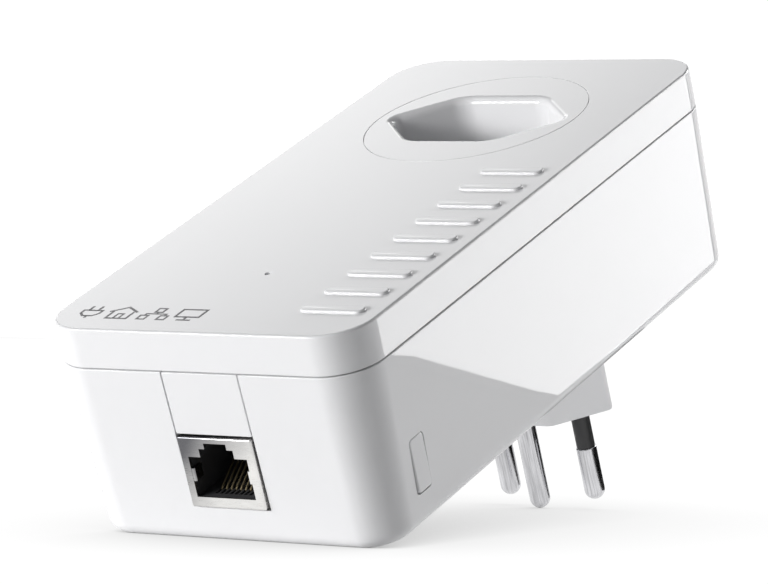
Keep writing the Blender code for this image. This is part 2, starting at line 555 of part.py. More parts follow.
def make_components():
    on_board("pulse_transformer", "black_plastic", 0, 35.5, 16, 12, 5.8, bevel=0.4)
    on_board("processor", "black_plastic", -17.5, 37, 14, 14, 1.2, bevel=0.2)
    sink = on_board("heat_sink", "aluminium", -17.5, 37, 16, 16, 8.5, z=1.5)
    fins = [box((-17.5 + (i - 2) * 3.0 - 0.9, 20, ON_BOARD + 3.3), (-17.5 + (i - 2) * 3.0 + 0.9, 60, 40))
            for i in range(5)]
    cut(sink, "heat_sink_gaps", joined(*fins))
    on_board("memory_chip", "black_plastic", -17.5, 52, 12, 8, 1.1, bevel=0.2)
    on_board("coupling_transformer", "ferrite", 16, 27, 12, 10, 9, bevel=0.6)
    on_board("rectifier", "black_plastic", 0, 76, 8.5, 6.5, 3.2, bevel=0.3)
    on_board("suppression_capacitor", "yellow_tape", 19, 70.5, 17, 7, 13, bevel=0.5)
    standing("bulk_capacitor", "black_plastic", 20, 57.5, 5, 20)
    standing("output_capacitor", "black_plastic", -20.5, 62.5, 4, 12.5)
    core = on_board("transformer_core", "ferrite", 0, 59.5, 18, 7, 16, z=0.5)
    windows = [box((s * 5.2 - 2.3, 50, ON_BOARD + 2.6), (s * 5.2 + 2.3, 70, ON_BOARD + 14.4)) for s in (-1, 1)]
    cut(core, "core_windows", joined(*windows))
    outer = rounded_rect(-7.2, 7.2, 59.5 - 8, 59.5 + 8, 3, 3)
    inner = rounded_rect(-3.2, 3.2, 59.5 - 3.8, 59.5 + 3.8, 0.3, 3)
    z0, z1 = ON_BOARD + 3.0, ON_BOARD + 14.0
    ring = [at_z(outer, z0), at_z(outer, z1), at_z(inner, z1), at_z(inner, z0)]
    finish("transformer_winding", loft(ring, ring_shaped=True), "yellow_tape", (0, 59.5, z0))
    bead = [(4.6 + 2.4 * math.cos(math.radians(a)), 2.6 * math.sin(math.radians(a))) for a in range(0, 360, 45)]
    choke = turn_to(turned(bead, 24, ring_shaped=True), (0, 1, 0), (-19.5, 74.5, ON_BOARD + 7.05))
    finish("common_mode_choke", choke, "copper", (-19.5, 74.5, ON_BOARD + 7.05))
    fuse = turn_to(turned(((2.0, 0), (2.3, 0.3), (2.3, 9.7), (2.0, 10)), 16), (1, 0, 0), (14, 80.5, ON_BOARD + 2.4))
    finish("fuse", fuse, "clear", (14, 80.5, ON_BOARD + 2.4))
    disc = turn_to(turned(((4.0, 0), (4.8, 0.8), (4.8, 2.6), (4.0, 3.4)), 20), (0, 1, 0), (-20, 80.6, ON_BOARD + 5))
    finish("varistor", disc, "blue_ceramic", (-20, 80.6, ON_BOARD + 5))


def make_rating_plate():
    """A blank plate at the bottom of its recess in the back."""
    margin = 0.4
    outline = rounded_rect(-LABEL_HALF + margin, LABEL_HALF - margin, LABEL_Y0 + margin, LABEL_Y1 - margin, 1.6, 2)
    finish("rating_plate", prism(outline, 0.05, 0.2), "label_grey", (0, (LABEL_Y0 + LABEL_Y1) / 2, 0.2))


# ---------------------------------------------------------------- resting on a table
def lean_angle():
    """The lean at which the back edge's round and the earth pin's round tip touch one level surface."""
    edge_y, edge_z = DRAFT_NEAR + BACK_EDGE_R, BACK_EDGE_R
    tip_y, tip_z = SOCKET_Y - EARTH_OFFSET, -PLUG_HEIGHT - PIN_LENGTH + PIN_R
    run, drop = tip_y - edge_y, edge_z - tip_z
    return math.atan2(drop, run) - math.asin((BACK_EDGE_R - PIN_R) / math.hypot(run, drop))


def set_down():
    """Leans the adapter and moves it so that its box stands centred on the scene's origin."""
    frame = bpy.data.objects["adapter"]
    frame.rotation_euler.x = lean_angle()
    bpy.context.view_layer.update()
    graph = bpy.context.evaluated_depsgraph_get()
    points = []
    for name in ("rear_housing", "front_cover", "earth_pin", "plug_body"):
        solid = bpy.data.objects[name].evaluated_get(graph)
        points += [solid.matrix_world @ vertex.co for vertex in solid.data.vertices]
    y_values = [point.y for point in points]
    frame.location.y = -(min(y_values) + max(y_values)) / 2
    frame.location.z = -min(point.z for point in points)


def main():
    clear_scene()
    bpy.context.scene.collection.objects.link(bpy.data.objects.new("adapter", None))
    make_housing()
    make_cover()
    make_filler()
    make_screws()
    make_socket_insert()
    make_shutter()
    make_shutter_spring()
    make_carrier()
    for name, (x, y) in poles().items():
        make_contact(name, x, y)
    make_plug()
    make_jack()
    make_button()
    make_lamp()
    make_board()
    make_components()
    make_rating_plate()
    set_down()


main()
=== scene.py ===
"""Looks for the powerline adapter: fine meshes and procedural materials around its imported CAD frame.

Shapes are made in millimetres in the adapter's own frame: x across, y from the network-port end to the
socket end, z from the back cover (0) to the front face. PLACE then leans them onto the table, in the row
frame and in metres. Their places and main sizes are read from the CAD nodes.
"""

import json
import math

import bmesh
import bpy
from mathutils import Matrix, Vector


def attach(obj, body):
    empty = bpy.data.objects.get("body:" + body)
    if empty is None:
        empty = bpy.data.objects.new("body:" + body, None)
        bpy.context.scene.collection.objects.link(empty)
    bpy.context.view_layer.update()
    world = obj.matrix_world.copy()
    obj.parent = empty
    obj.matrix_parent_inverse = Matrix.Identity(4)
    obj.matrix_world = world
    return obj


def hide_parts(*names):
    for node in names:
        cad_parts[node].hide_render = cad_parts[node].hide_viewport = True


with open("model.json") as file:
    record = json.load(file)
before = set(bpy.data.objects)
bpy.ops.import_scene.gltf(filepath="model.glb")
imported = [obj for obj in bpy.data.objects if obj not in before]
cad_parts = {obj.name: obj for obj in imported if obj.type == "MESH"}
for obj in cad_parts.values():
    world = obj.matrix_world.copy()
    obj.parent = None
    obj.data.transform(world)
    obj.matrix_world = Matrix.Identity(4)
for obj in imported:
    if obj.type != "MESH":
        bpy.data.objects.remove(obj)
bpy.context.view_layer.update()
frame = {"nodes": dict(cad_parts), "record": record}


# ---------------------------------------------------------------- the adapter's own frame
def vertices_of(node):
    return [vertex.co for vertex in frame["nodes"][node].data.vertices]


def adapter_placement():
    """From the adapter's own frame to the row frame. Its back cover faces the way of the mount back_face."""
    mount = next(m for m in frame["record"]["mounts"] if m["name"] == "back_face")
    lean = Matrix.Rotation(math.atan2(mount["axis"][1], -mount["axis"][2]), 4, "X")
    level = lean.inverted()
    low_y = min((level @ point).y for point in vertices_of("front_cover"))
    low_z = min((level @ point).z for point in vertices_of("rear_housing"))
    return lean @ Matrix.Translation((0, low_y, low_z)) @ Matrix.Diagonal((0.001, 0.001, 0.001, 1))


PLACE = adapter_placement()
UNPLACE = PLACE.inverted()


def extent(node):
    """A CAD node's lowest and highest corners in the adapter's own frame."""
    points = [UNPLACE @ point for point in vertices_of(node)]
    return [Vector([pick(point[i] for point in points) for i in range(3)]) for pick in (min, max)]


# ---------------------------------------------------------------- sizes (millimetres)
RIB_HEIGHT = 0.5
case_x, LENGTH, ribs_top = extent("front_cover")[1]
WIDTH, DEPTH = 2 * case_x, ribs_top - RIB_HEIGHT
SEAM_GAP = 0.25  # finer than in the CAD
SEAM_Z = (extent("rear_housing")[1].z + extent("port_filler")[1].z) / 2 + 0.15
HOUSING_TOP = SEAM_Z - SEAM_GAP / 2
LIP_Z = SEAM_Z - 1.8
CORNER_R, WALL = 8.9, 2.0  # the upright corners, and the wall thickness
TOP_EDGE_R, BACK_EDGE_R, RIM_R = 0.45, 2.7, 0.18  # edge rounds: front face, back, and both sides of the seam
DRAFT_SIDE, DRAFT_NEAR, DRAFT_FAR = 1.33, 0.9, 0.7  # how far each wall leans in at the back
GAP = 0.3  # clearance around a piece let into another

RIBS, RIB_X, RIB_Y0, RIB_PITCH, RIB_LENGTH, RIB_WIDTH = 9, 23.0, 11.0, 7.8, 13.0, 2.6

insert_high = extent("socket_insert")[1]
SOCKET_R = insert_high.x
SOCKET_Y = insert_high.y - SOCKET_R
WELL_FLOOR = extent("socket_shutter")[1].z + 2.3  # 0.7 mm of room above the shutter, and a 1.6 mm floor
POLE_X = (extent("neutral_pin")[0].x + extent("neutral_pin")[1].x) / 2
EARTH_Y = (extent("earth_pin")[0].y + extent("earth_pin")[1].y) / 2
WELL, PLUG = (17.4, 9.2, 8.5), (17.5, 9.0, 8.4)  # half of: tip to tip, flat to flat, and a flat's length
PLUG_FACE = extent("plug_body")[0].z
PIN_R = extent("earth_pin")[1].x
PIN_TIP = extent("earth_pin")[0].z
SLEEVE_R = (extent("line_sleeve")[1].x - extent("line_sleeve")[0].x) / 2
SHOULDER_Z = extent("line_sleeve")[0].z

shield_low, shield_high = extent("jack_shield")
JACK_X = (shield_low.x + shield_high.x) / 2
JACK_FACE = shield_low.y
SLOT_HALF, SLOT_Z = 8.15, shield_low.z - GAP  # the port's slot: half its width, and its lower edge
CONTACTS, CONTACT_PITCH = 8, 1.02
button_low = extent("side_button")[0]
BUTTON_Y, BUTTON_HALF_Y, BUTTON_Z, BUTTON_HALF_Z = 13.6, 2.2, 11.5, 5.0
BUTTON_R, BUTTON_GAPS = 0.7, (0.24, 0.4, 0.1)  # corner radius; the gaps at the sides, below and above
LED_Y, PINHOLE_R = 25.7, 0.6
SCREWS = ((-24.2, 7.4), (24.2, 7.4), (-24.2, 123.4), (24.2, 123.4))
HOUSING_POST_R, COVER_POST_R, SCREW_BORE_R, SCREW_WELL_R = 3.1, 2.8, 1.75, 2.9
PLATE_RECESS = (-22, 22, 38, 68)  # x0, x1, y0, y1


# ---------------------------------------------------------------- outlines
def arc(cx, cy, r, start, end, steps):
    """Points from angle start to end (degrees), both included."""
    angles = [math.radians(start + (end - start) * i / steps) for i in range(steps + 1)]
    return [(cx + r * math.cos(a), cy + r * math.sin(a)) for a in angles]


def rounded_rect(x0, x1, y0, y1, r, steps):
    r = max(r, 0.03)
    return (
        arc(x1 - r, y1 - r, r, 0, 90, steps)
        + arc(x0 + r, y1 - r, r, 90, 180, steps)
        + arc(x0 + r, y0 + r, r, 180, 270, steps)
        + arc(x1 - r, y0 + r, r, 270, 360, steps)
    )


def rounded_polygon(points, radii, steps=10):
    """A convex polygon, counter-clockwise, with each corner rounded to its own radius."""
    out = []
    for i, (corner, r) in enumerate(zip(points, radii)):
        here = Vector(corner)
        to_last = (Vector(points[i - 1]) - here).normalized()
        to_next = (Vector(points[(i + 1) % len(points)]) - here).normalized()
        half = to_last.angle(to_next) / 2
        centre = here + (to_last + to_next).normalized() * (r / math.sin(half))
        first = here + to_last * (r / math.tan(half)) - centre
        start = math.degrees(math.atan2(first.y, first.x))
        out += arc(centre.x, centre.y, r, start, start + 180 - 2 * math.degrees(half), steps)
    return out


def hexagon(shape, grow=0.0, r=1.0, wide=2.5):
    """WELL or PLUG, a long hexagon about the socket axis, grown outwards by grow. Its two tips are rounded
    to radius r and its four blunt corners to radius wide."""
    tip, flat, side = shape
    slope = math.atan2(flat, tip - side)
    tip += grow / math.sin(slope)
    side += grow * math.tan(slope / 2)
    flat += grow
    corners = ((tip, 0), (side, flat), (-side, flat), (-tip, 0), (-side, -flat), (side, -flat))
    return rounded_polygon([(x, y + SOCKET_Y) for x, y in corners], (r, wide, wide, r, wide, wide))


def circle(r, steps, x=0.0, y=0.0):
    return arc(x, y, r, 0, 360, steps)[:-1]


def at_z(points, z):
    return [(point[0], point[1], z) for point in points]


def quarter(steps):
    """Angles from 0 to 90 degrees, in radians."""
    return [math.pi / 2 * i / steps for i in range(steps + 1)]


def round_over(r, steps):
    """A rounded edge as pairs of distances, the first growing from 0 to r while the second shrinks to 0."""
    return [(r * (1 - math.cos(a)), r * (1 - math.sin(a))) for a in quarter(steps)]


def wall_inset(z):
    """At height z, the share of its draft by which the housing's wall leans in, and the inset of its back
    edge's round."""
    lean = min(max((SEAM_Z - z) / (SEAM_Z - BACK_EDGE_R), 0), 1)
    below = max(BACK_EDGE_R - z, 0)
    return lean, BACK_EDGE_R - math.sqrt(max(BACK_EDGE_R**2 - below**2, 0))


def shell(z, offset=0.0, steps=24):
    """The outer outline of the case at height z, moved in by offset."""
    lean, edge = wall_inset(z)
    inward = offset + edge
    return at_z(
        rounded_rect(
            -WIDTH / 2 + DRAFT_SIDE * lean + inward,
            WIDTH / 2 - DRAFT_SIDE * lean - inward,
            DRAFT_NEAR * lean + inward,
            LENGTH - DRAFT_FAR * lean - inward,
            CORNER_R - DRAFT_SIDE * lean - inward,
            steps,
        ),
        z,
    )


# ---------------------------------------------------------------- solids
def loft(rings, ring_shaped=False):
    """A solid through rings of equally many points, capped at its ends or closed on itself."""
    bm = bmesh.new()
    loops = [[bm.verts.new(point) for point in ring] for ring in rings]
    pairs = list(zip(loops, loops[1:] + loops[:1]))
    for low, high in pairs if ring_shaped else pairs[:-1]:
        for i in range(len(low)):
            j = (i + 1) % len(low)
            bm.faces.new((low[i], low[j], high[j], high[i]))
    if not ring_shaped:
        bm.faces.new(loops[0])
        bm.faces.new(loops[-1])
    return bm


def prism(points, z0, z1):
    return loft([at_z(points, z0), at_z(points, z1)])


def box(low, high, round_r=0.0, segments=1):
    bm = bmesh.new()
    low, high = Vector(low), Vector(high)
    size = Matrix.Diagonal((high - low).to_4d())
    bmesh.ops.create_cube(bm, size=1, matrix=Matrix.Translation((low + high) / 2) @ size)
    if round_r:
        bmesh.ops.bevel(bm, geom=bm.edges[:], offset=round_r, segments=segments, profile=0.5, affect="EDGES")
    return bm


def turned(profile, steps, x=0.0, y=0.0):
    """A body turned about a line along z: profile is (radius, z) from one end to the other."""
    return loft([at_z(circle(r, steps, x, y), z) for r, z in profile])


def turn_to(bm, axis, centre):
    """Swings a body made along z at the origin so that it lies along axis, and moves it to centre."""
    swing = Vector((0, 0, 1)).rotation_difference(Vector(axis)).to_matrix().to_4x4()
    bmesh.ops.transform(bm, matrix=Matrix.Translation(centre) @ swing, verts=bm.verts)
    return bm


def joined(*parts):
    """Several closed shapes in one mesh."""
    whole = bmesh.new()
    for bm in parts:
        loose = bpy.data.meshes.new("loose")
        bm.to_mesh(loose)
        bm.free()
        whole.from_mesh(loose)
        bpy.data.meshes.remove(loose)
    return whole


def tube(points, r, steps=8):
    """A round wire along a line of points."""
    points = [Vector(point) for point in points]
    rings, side = [], None
    for i, here in enumerate(points):
        along = (points[min(i + 1, len(points) - 1)] - points[max(i - 1, 0)]).normalized()
        side = (side or along.orthogonal()).cross(along).cross(along).normalized() * -1
        up = along.cross(side)
        rings.append([here + (side * math.cos(a) + up * math.sin(a)) * r
                      for a in (2 * math.pi * k / steps for k in range(steps))])
    return loft(rings)


def mesh_object(name, bm):
    bmesh.ops.recalc_face_normals(bm, faces=bm.faces)
    mesh = bpy.data.meshes.new(name)
    bm.to_mesh(mesh)
    bm.free()
    obj = bpy.data.objects.new(name, mesh)
    bpy.context.scene.collection.objects.link(obj)
    return obj


def carve(obj, bm, operation="DIFFERENCE"):
    """Cuts the closed shape bm from obj, or joins it on (UNION)."""
    helper = mesh_object("helper", bm)
    modifier = obj.modifiers.new("carve", "BOOLEAN")
    modifier.operation, modifier.solver, modifier.object = operation, "EXACT", helper
    modifier.use_self = True
    graph = bpy.context.evaluated_depsgraph_get()
    carved = bpy.data.meshes.new_from_object(obj.evaluated_get(graph))
    obj.modifiers.clear()
    obj.data = carved
    bpy.data.objects.remove(helper)


def dress(obj, finish, body="case", nodes=(), smooth=35):
    """Leans a finished piece onto the table, gives it its material, parents it to its body's empty, and hides
    the CAD nodes it replaces.
    """
    mesh = obj.data
    mesh.transform(PLACE)
    mesh.update()
    mesh.materials.clear()
    mesh.materials.append(finish)
    mesh.shade_smooth()
    mesh.set_sharp_from_angle(angle=math.radians(smooth))
    shading = obj.modifiers.new("even shading", "WEIGHTED_NORMAL")
    shading.keep_sharp = True
    shading.weight = 90
    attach(obj, body)
    if nodes:
        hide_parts(*nodes)
    return obj


# ---------------------------------------------------------------- materials
def nodes_for(name):
    made = bpy.data.materials.new(name)
    made.use_nodes = True
    tree = made.node_tree
    return made, tree, tree.nodes["Principled BSDF"]


def own_axes(tree, scale, origin=(0, 0, 0)):
    """Coordinates along the adapter's own axes, from origin. Scale is each unit's length in millimetres."""
    place, mapping = tree.nodes.new("ShaderNodeTexCoord"), tree.nodes.new("ShaderNodeMapping")
    mapping.vector_type = "TEXTURE"
    mapping.inputs["Location"].default_value = origin
    mapping.inputs["Rotation"].default_value = PLACE.to_euler()
    mapping.inputs["Scale"].default_value = [length * 0.001 for length in scale]
    tree.links.new(place.outputs["Object"], mapping.inputs["Vector"])
    return mapping.outputs["Vector"]


def texture_on(tree, kind, vector, settings):
    """A texture node read at vector. Its scale is 1, because the vector is already scaled."""
    texture = tree.nodes.new(kind)
    texture.inputs["Scale"].default_value = 1.0
    for socket, number in settings.items():
        texture.inputs[socket].default_value = number
    tree.links.new(vector, texture.inputs["Vector"])
    return texture


def noise(tree, cell, detail=3.0):
    """Noise whose cells are about cell millimetres across."""
    place, mapping = tree.nodes.new("ShaderNodeTexCoord"), tree.nodes.new("ShaderNodeMapping")
    mapping.inputs["Scale"].default_value = [1000 / cell] * 3
    tree.links.new(place.outputs["Object"], mapping.inputs["Vector"])
    return texture_on(tree, "ShaderNodeTexNoise", mapping.outputs["Vector"], {"Detail": detail})


def drawn_noise(tree, cell, detail, stretch):
    """Noise that is stretched along the adapter's own axes."""
    vector = own_axes(tree, [share * cell for share in stretch])
    return texture_on(tree, "ShaderNodeTexNoise", vector, {"Detail": detail})


def math_node(tree, operation, number=None):
    """A Math node, with number as its second value unless that is linked."""
    node = tree.nodes.new("ShaderNodeMath")
    node.operation = operation
    if number is not None:
        node.inputs[1].default_value = number
    return node


def spread(tree, value, low, high, start=0.3, end=0.7):
    """Maps the part of a value from start to end onto low to high."""
    node = tree.nodes.new("ShaderNodeMapRange")
    for socket, number in (("From Min", start), ("From Max", end), ("To Min", low), ("To Max", high)):
        node.inputs[socket].default_value = number
    tree.links.new(value, node.inputs["Value"])
    return node.outputs["Result"]


def blend(tree, share, first, second):
    """A colour between two others."""
    node = tree.nodes.new("ShaderNodeMix")
    node.data_type = "RGBA"
    node.inputs["A"].default_value = (*first, 1)
    node.inputs["B"].default_value = (*second, 1)
    tree.links.new(share, node.inputs["Factor"])
    return node.outputs["Result"]


def add_bump(tree, shader, height, depth):
    """Relief, depth in millimetres."""
    node = tree.nodes.new("ShaderNodeBump")
    node.inputs["Strength"].default_value = 1.0
    node.inputs["Distance"].default_value = depth * 0.001
    tree.links.new(height, node.inputs["Height"])
    tree.links.new(node.outputs["Normal"], shader.inputs["Normal"])


def shade(colour, factor):
    return tuple(min(part * factor, 1) for part in colour)


def plastic(name, colour, roughness, grain=0.4, depth=0.004, vary=0.02):
    """Moulded plastic: colour with faint mottling, fine grain, and patches of slightly different gloss."""
    made, tree, shader = nodes_for(name)
    broad, fine = noise(tree, 18, 2), noise(tree, grain, 2)
    link = tree.links.new
    link(blend(tree, broad.outputs["Fac"], shade(colour, 1 - vary), shade(colour, 1 + vary)),
         shader.inputs["Base Color"])
    link(spread(tree, broad.outputs["Fac"], roughness * 0.85, roughness * 1.15), shader.inputs["Roughness"])
    add_bump(tree, shader, fine.outputs["Fac"], depth)
    return made


def metal(name, colour, roughness, stretch=(1, 1, 12), cell=0.12, depth=0.002, vary=0.08, streaks=False):
    """Drawn or rolled metal with fine lines along one of the adapter's own axes. Its colour varies in
    patches, or with streaks along the lines."""
    made, tree, shader = nodes_for(name)
    lines, patches = drawn_noise(tree, cell, 3, stretch), noise(tree, 2.5, 3)
    link = tree.links.new
    share = spread(tree, lines.outputs["Fac"], 0, 1) if streaks else patches.outputs["Fac"]
    link(blend(tree, share, shade(colour, 1 - vary), shade(colour, 1 + vary)), shader.inputs["Base Color"])
    link(spread(tree, lines.outputs["Fac"], roughness * 0.7, roughness * 1.4), shader.inputs["Roughness"])
    add_bump(tree, shader, lines.outputs["Fac"], depth)
    shader.inputs["Metallic"].default_value = 1.0
    return made


def tin_plating(name, dark, light, roughness):
    """Rolled, tin-plated sheet: fine lines and cloudy patches, with painted reflection darkening the top left
    of the jack's face and painted shade darkening it further in.
    """
    made, tree, shader = nodes_for(name)
    middle = PLACE @ Vector((JACK_X, JACK_FACE, (shield_low.z + shield_high.z) / 2))
    across = tree.nodes.new("ShaderNodeVectorMath")
    across.operation = "DOT_PRODUCT"
    across.inputs[1].default_value = (0.7, -5.0, -0.8)  # painted reflection and shade: lighter to the right, outwards and downwards
    painted_light_and_patches = math_node(tree, "MULTIPLY_ADD", 5.0)
    lines, cloud = drawn_noise(tree, 0.2, 3, (10, 1, 1)), drawn_noise(tree, 3.0, 4, (3, 1, 1))
    link = tree.links.new
    link(own_axes(tree, (1, 1, 1), middle), across.inputs[0])
    link(cloud.outputs["Fac"], painted_light_and_patches.inputs[0])
    link(across.outputs["Value"], painted_light_and_patches.inputs[2])
    share = spread(tree, painted_light_and_patches.outputs[0], 0, 1, -6.0, 6.5)
    link(blend(tree, share, dark, light), shader.inputs["Base Color"])
    link(spread(tree, lines.outputs["Fac"], roughness * 0.7, roughness * 1.3), shader.inputs["Roughness"])
    add_bump(tree, shader, lines.outputs["Fac"], 0.001)
    shader.inputs["Metallic"].default_value = 1.0
    return made


def banded(name, dark, light, roughness, width, direction, metallic=0.0, depth=0.05):
    """Turns of wire or tape, stacked along X, Y or Z of the adapter: bands of dark and light, each width
    millimetres."""
    made, tree, shader = nodes_for(name)
    vector = own_axes(tree, [width * 20 / math.pi] * 3)  # a wave texture's band is pi / 20 wide
    wave = texture_on(tree, "ShaderNodeTexWave", vector, {"Distortion": 0.3})
    wave.bands_direction = direction
    tree.links.new(blend(tree, wave.outputs["Fac"], dark, light), shader.inputs["Base Color"])
    tree.links.new(spread(tree, noise(tree, 1.0).outputs["Fac"], roughness * 0.8, roughness * 1.2),
                   shader.inputs["Roughness"])
    add_bump(tree, shader, wave.outputs["Fac"], depth)
    shader.inputs["Metallic"].default_value = metallic
    return made


def clear_plastic(name, colour, roughness):
    made = plastic(name, colour, roughness, grain=0.8, depth=0.001)
    shader = made.node_tree.nodes["Principled BSDF"]
    shader.inputs["Transmission Weight"].default_value = 0.7
    shader.inputs["IOR"].default_value = 1.49
    return made


def circuit_board(name):
    """Green lacquer over copper tracks: the tracks show as slightly raised lighter lines."""
    made, tree, shader = nodes_for(name)
    tracks = texture_on(tree, "ShaderNodeTexBrick", own_axes(tree, (4, 4, 4)),
                        {"Mortar Size": 0.06, "Brick Width": 1.7, "Row Height": 0.45})
    tree.links.new(blend(tree, tracks.outputs["Fac"], (0.008, 0.10, 0.045), (0.03, 0.24, 0.10)),
                   shader.inputs["Base Color"])
    tree.links.new(spread(tree, noise(tree, 3).outputs["Fac"], 0.3, 0.42), shader.inputs["Roughness"])
    add_bump(tree, shader, tracks.outputs["Fac"], 0.03)
    return made


def label_print(name):
    """A blank rating plate: matt film with a faint speckle."""
    made, tree, shader = nodes_for(name)
    speck = noise(tree, 0.25, 4)
    tree.links.new(blend(tree, speck.outputs["Fac"], (0.60, 0.61, 0.62), (0.72, 0.73, 0.74)),
                   shader.inputs["Base Color"])
    tree.links.new(spread(tree, speck.outputs["Fac"], 0.42, 0.55), shader.inputs["Roughness"])
    add_bump(tree, shader, speck.outputs["Fac"], 0.004)
    return made


WHITE = (0.80, 0.80, 0.81)
case_white = plastic("case_white", WHITE, 0.02, grain=2.5, depth=0.0004, vary=0.008)
cover_white = plastic("cover_white", WHITE, 0.05, grain=1.5, depth=0.0004, vary=0.008)
plug_white = plastic("plug_white", (0.72, 0.72, 0.73), 0.3, grain=0.3, depth=0.002)
jack_black = plastic("jack_plastic", (0.045, 0.045, 0.048), 0.5, grain=0.2, depth=0.004, vary=0.2)
black = plastic("black_plastic", (0.012, 0.012, 0.013), 0.38, grain=0.2, depth=0.004, vary=0.2)
sleeve_black = plastic("sleeve_black", (0.02, 0.02, 0.021), 0.45, grain=0.15, depth=0.006, vary=0.2)
grey = plastic("grey_plastic", (0.30, 0.31, 0.32), 0.45, grain=0.3, depth=0.006, vary=0.06)
ferrite = plastic("ferrite", (0.045, 0.045, 0.05), 0.6, grain=0.25, depth=0.02, vary=0.25)
ceramic = plastic("ceramic", (0.04, 0.14, 0.42), 0.3, grain=0.5, depth=0.01, vary=0.08)
nickel = metal("nickel", (0.68, 0.68, 0.70), 0.2, stretch=(1, 1, 20), cell=0.3, depth=0.0006, vary=0.25,
               streaks=True)
# Dark and light: the two ends of the tin's painted reflection and painted shade
tin_plate = tin_plating("tin_plate", (0.15, 0.15, 0.16), (0.90, 0.89, 0.87), 0.32)
brass = metal("contact_brass", (0.76, 0.56, 0.24), 0.28)
gold = metal("gold_plate", (0.34, 0.28, 0.17), 0.42, stretch=(1, 8, 1), cell=0.1)
steel = metal("steel", (0.55, 0.55, 0.56), 0.3, cell=0.2)
aluminium = metal("aluminium", (0.70, 0.71, 0.72), 0.36, stretch=(1, 14, 1), cell=0.3)
tape = banded("yellow_tape", (0.72, 0.48, 0.05), (0.86, 0.64, 0.12), 0.42, 2.2, "Z")
copper = banded("copper", (0.42, 0.15, 0.06), (0.80, 0.36, 0.18), 0.3, 0.7, "X", metallic=1.0, depth=0.15)
clear = clear_plastic("clear", (0.88, 0.92, 0.95), 0.08)
board_green = circuit_board("board_green")
label = label_print("label")
ink = plastic("grey_ink", (0.19, 0.19, 0.195), 0.5, grain=0.2, depth=0.001, vary=0.05)


# ---------------------------------------------------------------- case
def surface_x(z):
    """x of the housing's right side at height z."""
    return WIDTH / 2 - DRAFT_SIDE * wall_inset(z)[0]


def surface_y(z):
    """y of the housing's near end at height z."""
    return DRAFT_NEAR * wall_inset(z)[0]


def flare(section, depth, r):
    """A cutter from depth up to the surface and out of it, with a rounded edge where it meets the surface."""
    rings = [section(-depth, 0.0)] + [section(-down, aside) for aside, down in round_over(r, 3)]
    return loft(rings + [section(0.6, r)])


def side_section(half_y, half_z, r, gaps=(0.0, 0.0, 0.0), steps=6):
    """Rounded rectangles in the right side, out from its surface by some distance and grown by some other.
    The gaps make them larger at both sides, below and above."""
    aside, below, above = gaps

    def section(out, grow):
        points = rounded_rect(BUTTON_Y - half_y - aside - grow, BUTTON_Y + half_y + aside + grow,
                              BUTTON_Z - half_z - below - grow, BUTTON_Z + half_z + above + grow,
                              r + aside + grow, steps)
        return [(surface_x(z) + out, y, z) for y, z in points]
    return section


def port_section(out, grow):
    """The port's slot in the near end, open towards the cover."""
    corners = ((-SLOT_HALF - grow, SLOT_Z - grow), (SLOT_HALF + grow, SLOT_Z - grow),
               (SLOT_HALF + grow, SEAM_Z + 3), (-SLOT_HALF - grow, SEAM_Z + 3))
    return [(x, surface_y(z) - out, z) for x, z in corners]


def at_screws(r, z0, z1, steps):
    """A post or a bore at each case screw."""
    return joined(*[turned(((r, z0), (r, z1)), steps, x, y) for x, y in SCREWS])


def screw_well(x, y):
    edge = [(SCREW_WELL_R + aside, down) for aside, down in round_over(0.25, 4)]
    return turned([(SCREW_WELL_R, 2.6)] + edge + [(SCREW_WELL_R + 0.3, -1)], 40, x, y)


def make_housing():
    """The rear housing: a tray with openings for the plug, the port and the button."""
    outer = [shell(z) for z, _ in round_over(BACK_EDGE_R, 10)]
    outer += [shell(z) for z in (8, 15, 23, 30)]
    outer += [shell(HOUSING_TOP - down, aside) for aside, down in round_over(RIM_R, 4)]
    inner = [shell(HOUSING_TOP, WALL), shell(WALL + 3, WALL), at_z(shell(WALL + 3, WALL + 1.5), WALL)]
    housing = mesh_object("housing_shell", loft(outer + inner))
    carve(housing, prism(hexagon(PLUG, GAP), -1, WALL + 1))
    carve(housing, at_screws(HOUSING_POST_R, WALL - 0.5, 8, 32), "UNION")
    carve(housing, joined(*[screw_well(x, y) for x, y in SCREWS]))
    carve(housing, at_screws(SCREW_BORE_R, 2, 9, 24))
    carve(housing, prism(rounded_rect(*PLATE_RECESS, 2, 6), -1, 0.5))
    carve(housing, flare(port_section, 6, 0.06))
    carve(housing, flare(side_section(BUTTON_HALF_Y, BUTTON_HALF_Z, BUTTON_R, BUTTON_GAPS), 6, 0.08))
    dress(housing, case_white, nodes=["rear_housing"], smooth=30)


def make_cover():
    """The front cover: a tray with a lip that reaches into the housing."""
    low, high = SEAM_Z + SEAM_GAP / 2, DEPTH - WALL
    lip_out, lip_in = WALL + GAP, WALL + GAP + 1.0
    rings = [shell(DEPTH - down, aside) for down, aside in round_over(TOP_EDGE_R, 8)]
    rings += [shell(low + up, aside) for aside, up in round_over(RIM_R, 4)]
    rings += [shell(low, lip_out), shell(LIP_Z, lip_out), shell(LIP_Z, lip_in), shell(high, lip_in)]
    cover = mesh_object("cover_shell", loft(rings))
    hole_r, edge_r = SOCKET_R + 0.1, 0.07
    edge = [(hole_r + aside, DEPTH - down) for aside, down in round_over(edge_r, 4)]
    carve(cover, turned([(hole_r, 30)] + edge + [(hole_r + edge_r, DEPTH + 2)], 144, 0, SOCKET_Y))
    edge = [(PINHOLE_R + aside, DEPTH - down) for aside, down in round_over(0.08, 3)]
    carve(cover, turned([(PINHOLE_R, high - 1)] + edge + [(PINHOLE_R + 0.12, DEPTH + 1)], 24, 0, LED_Y))
    carve(cover, at_screws(COVER_POST_R, 8.3, high + 0.5, 32), "UNION")
    carve(cover, at_screws(SCREW_BORE_R, 7, 20, 24))
    dress(cover, cover_white, nodes=["front_cover"], smooth=30)


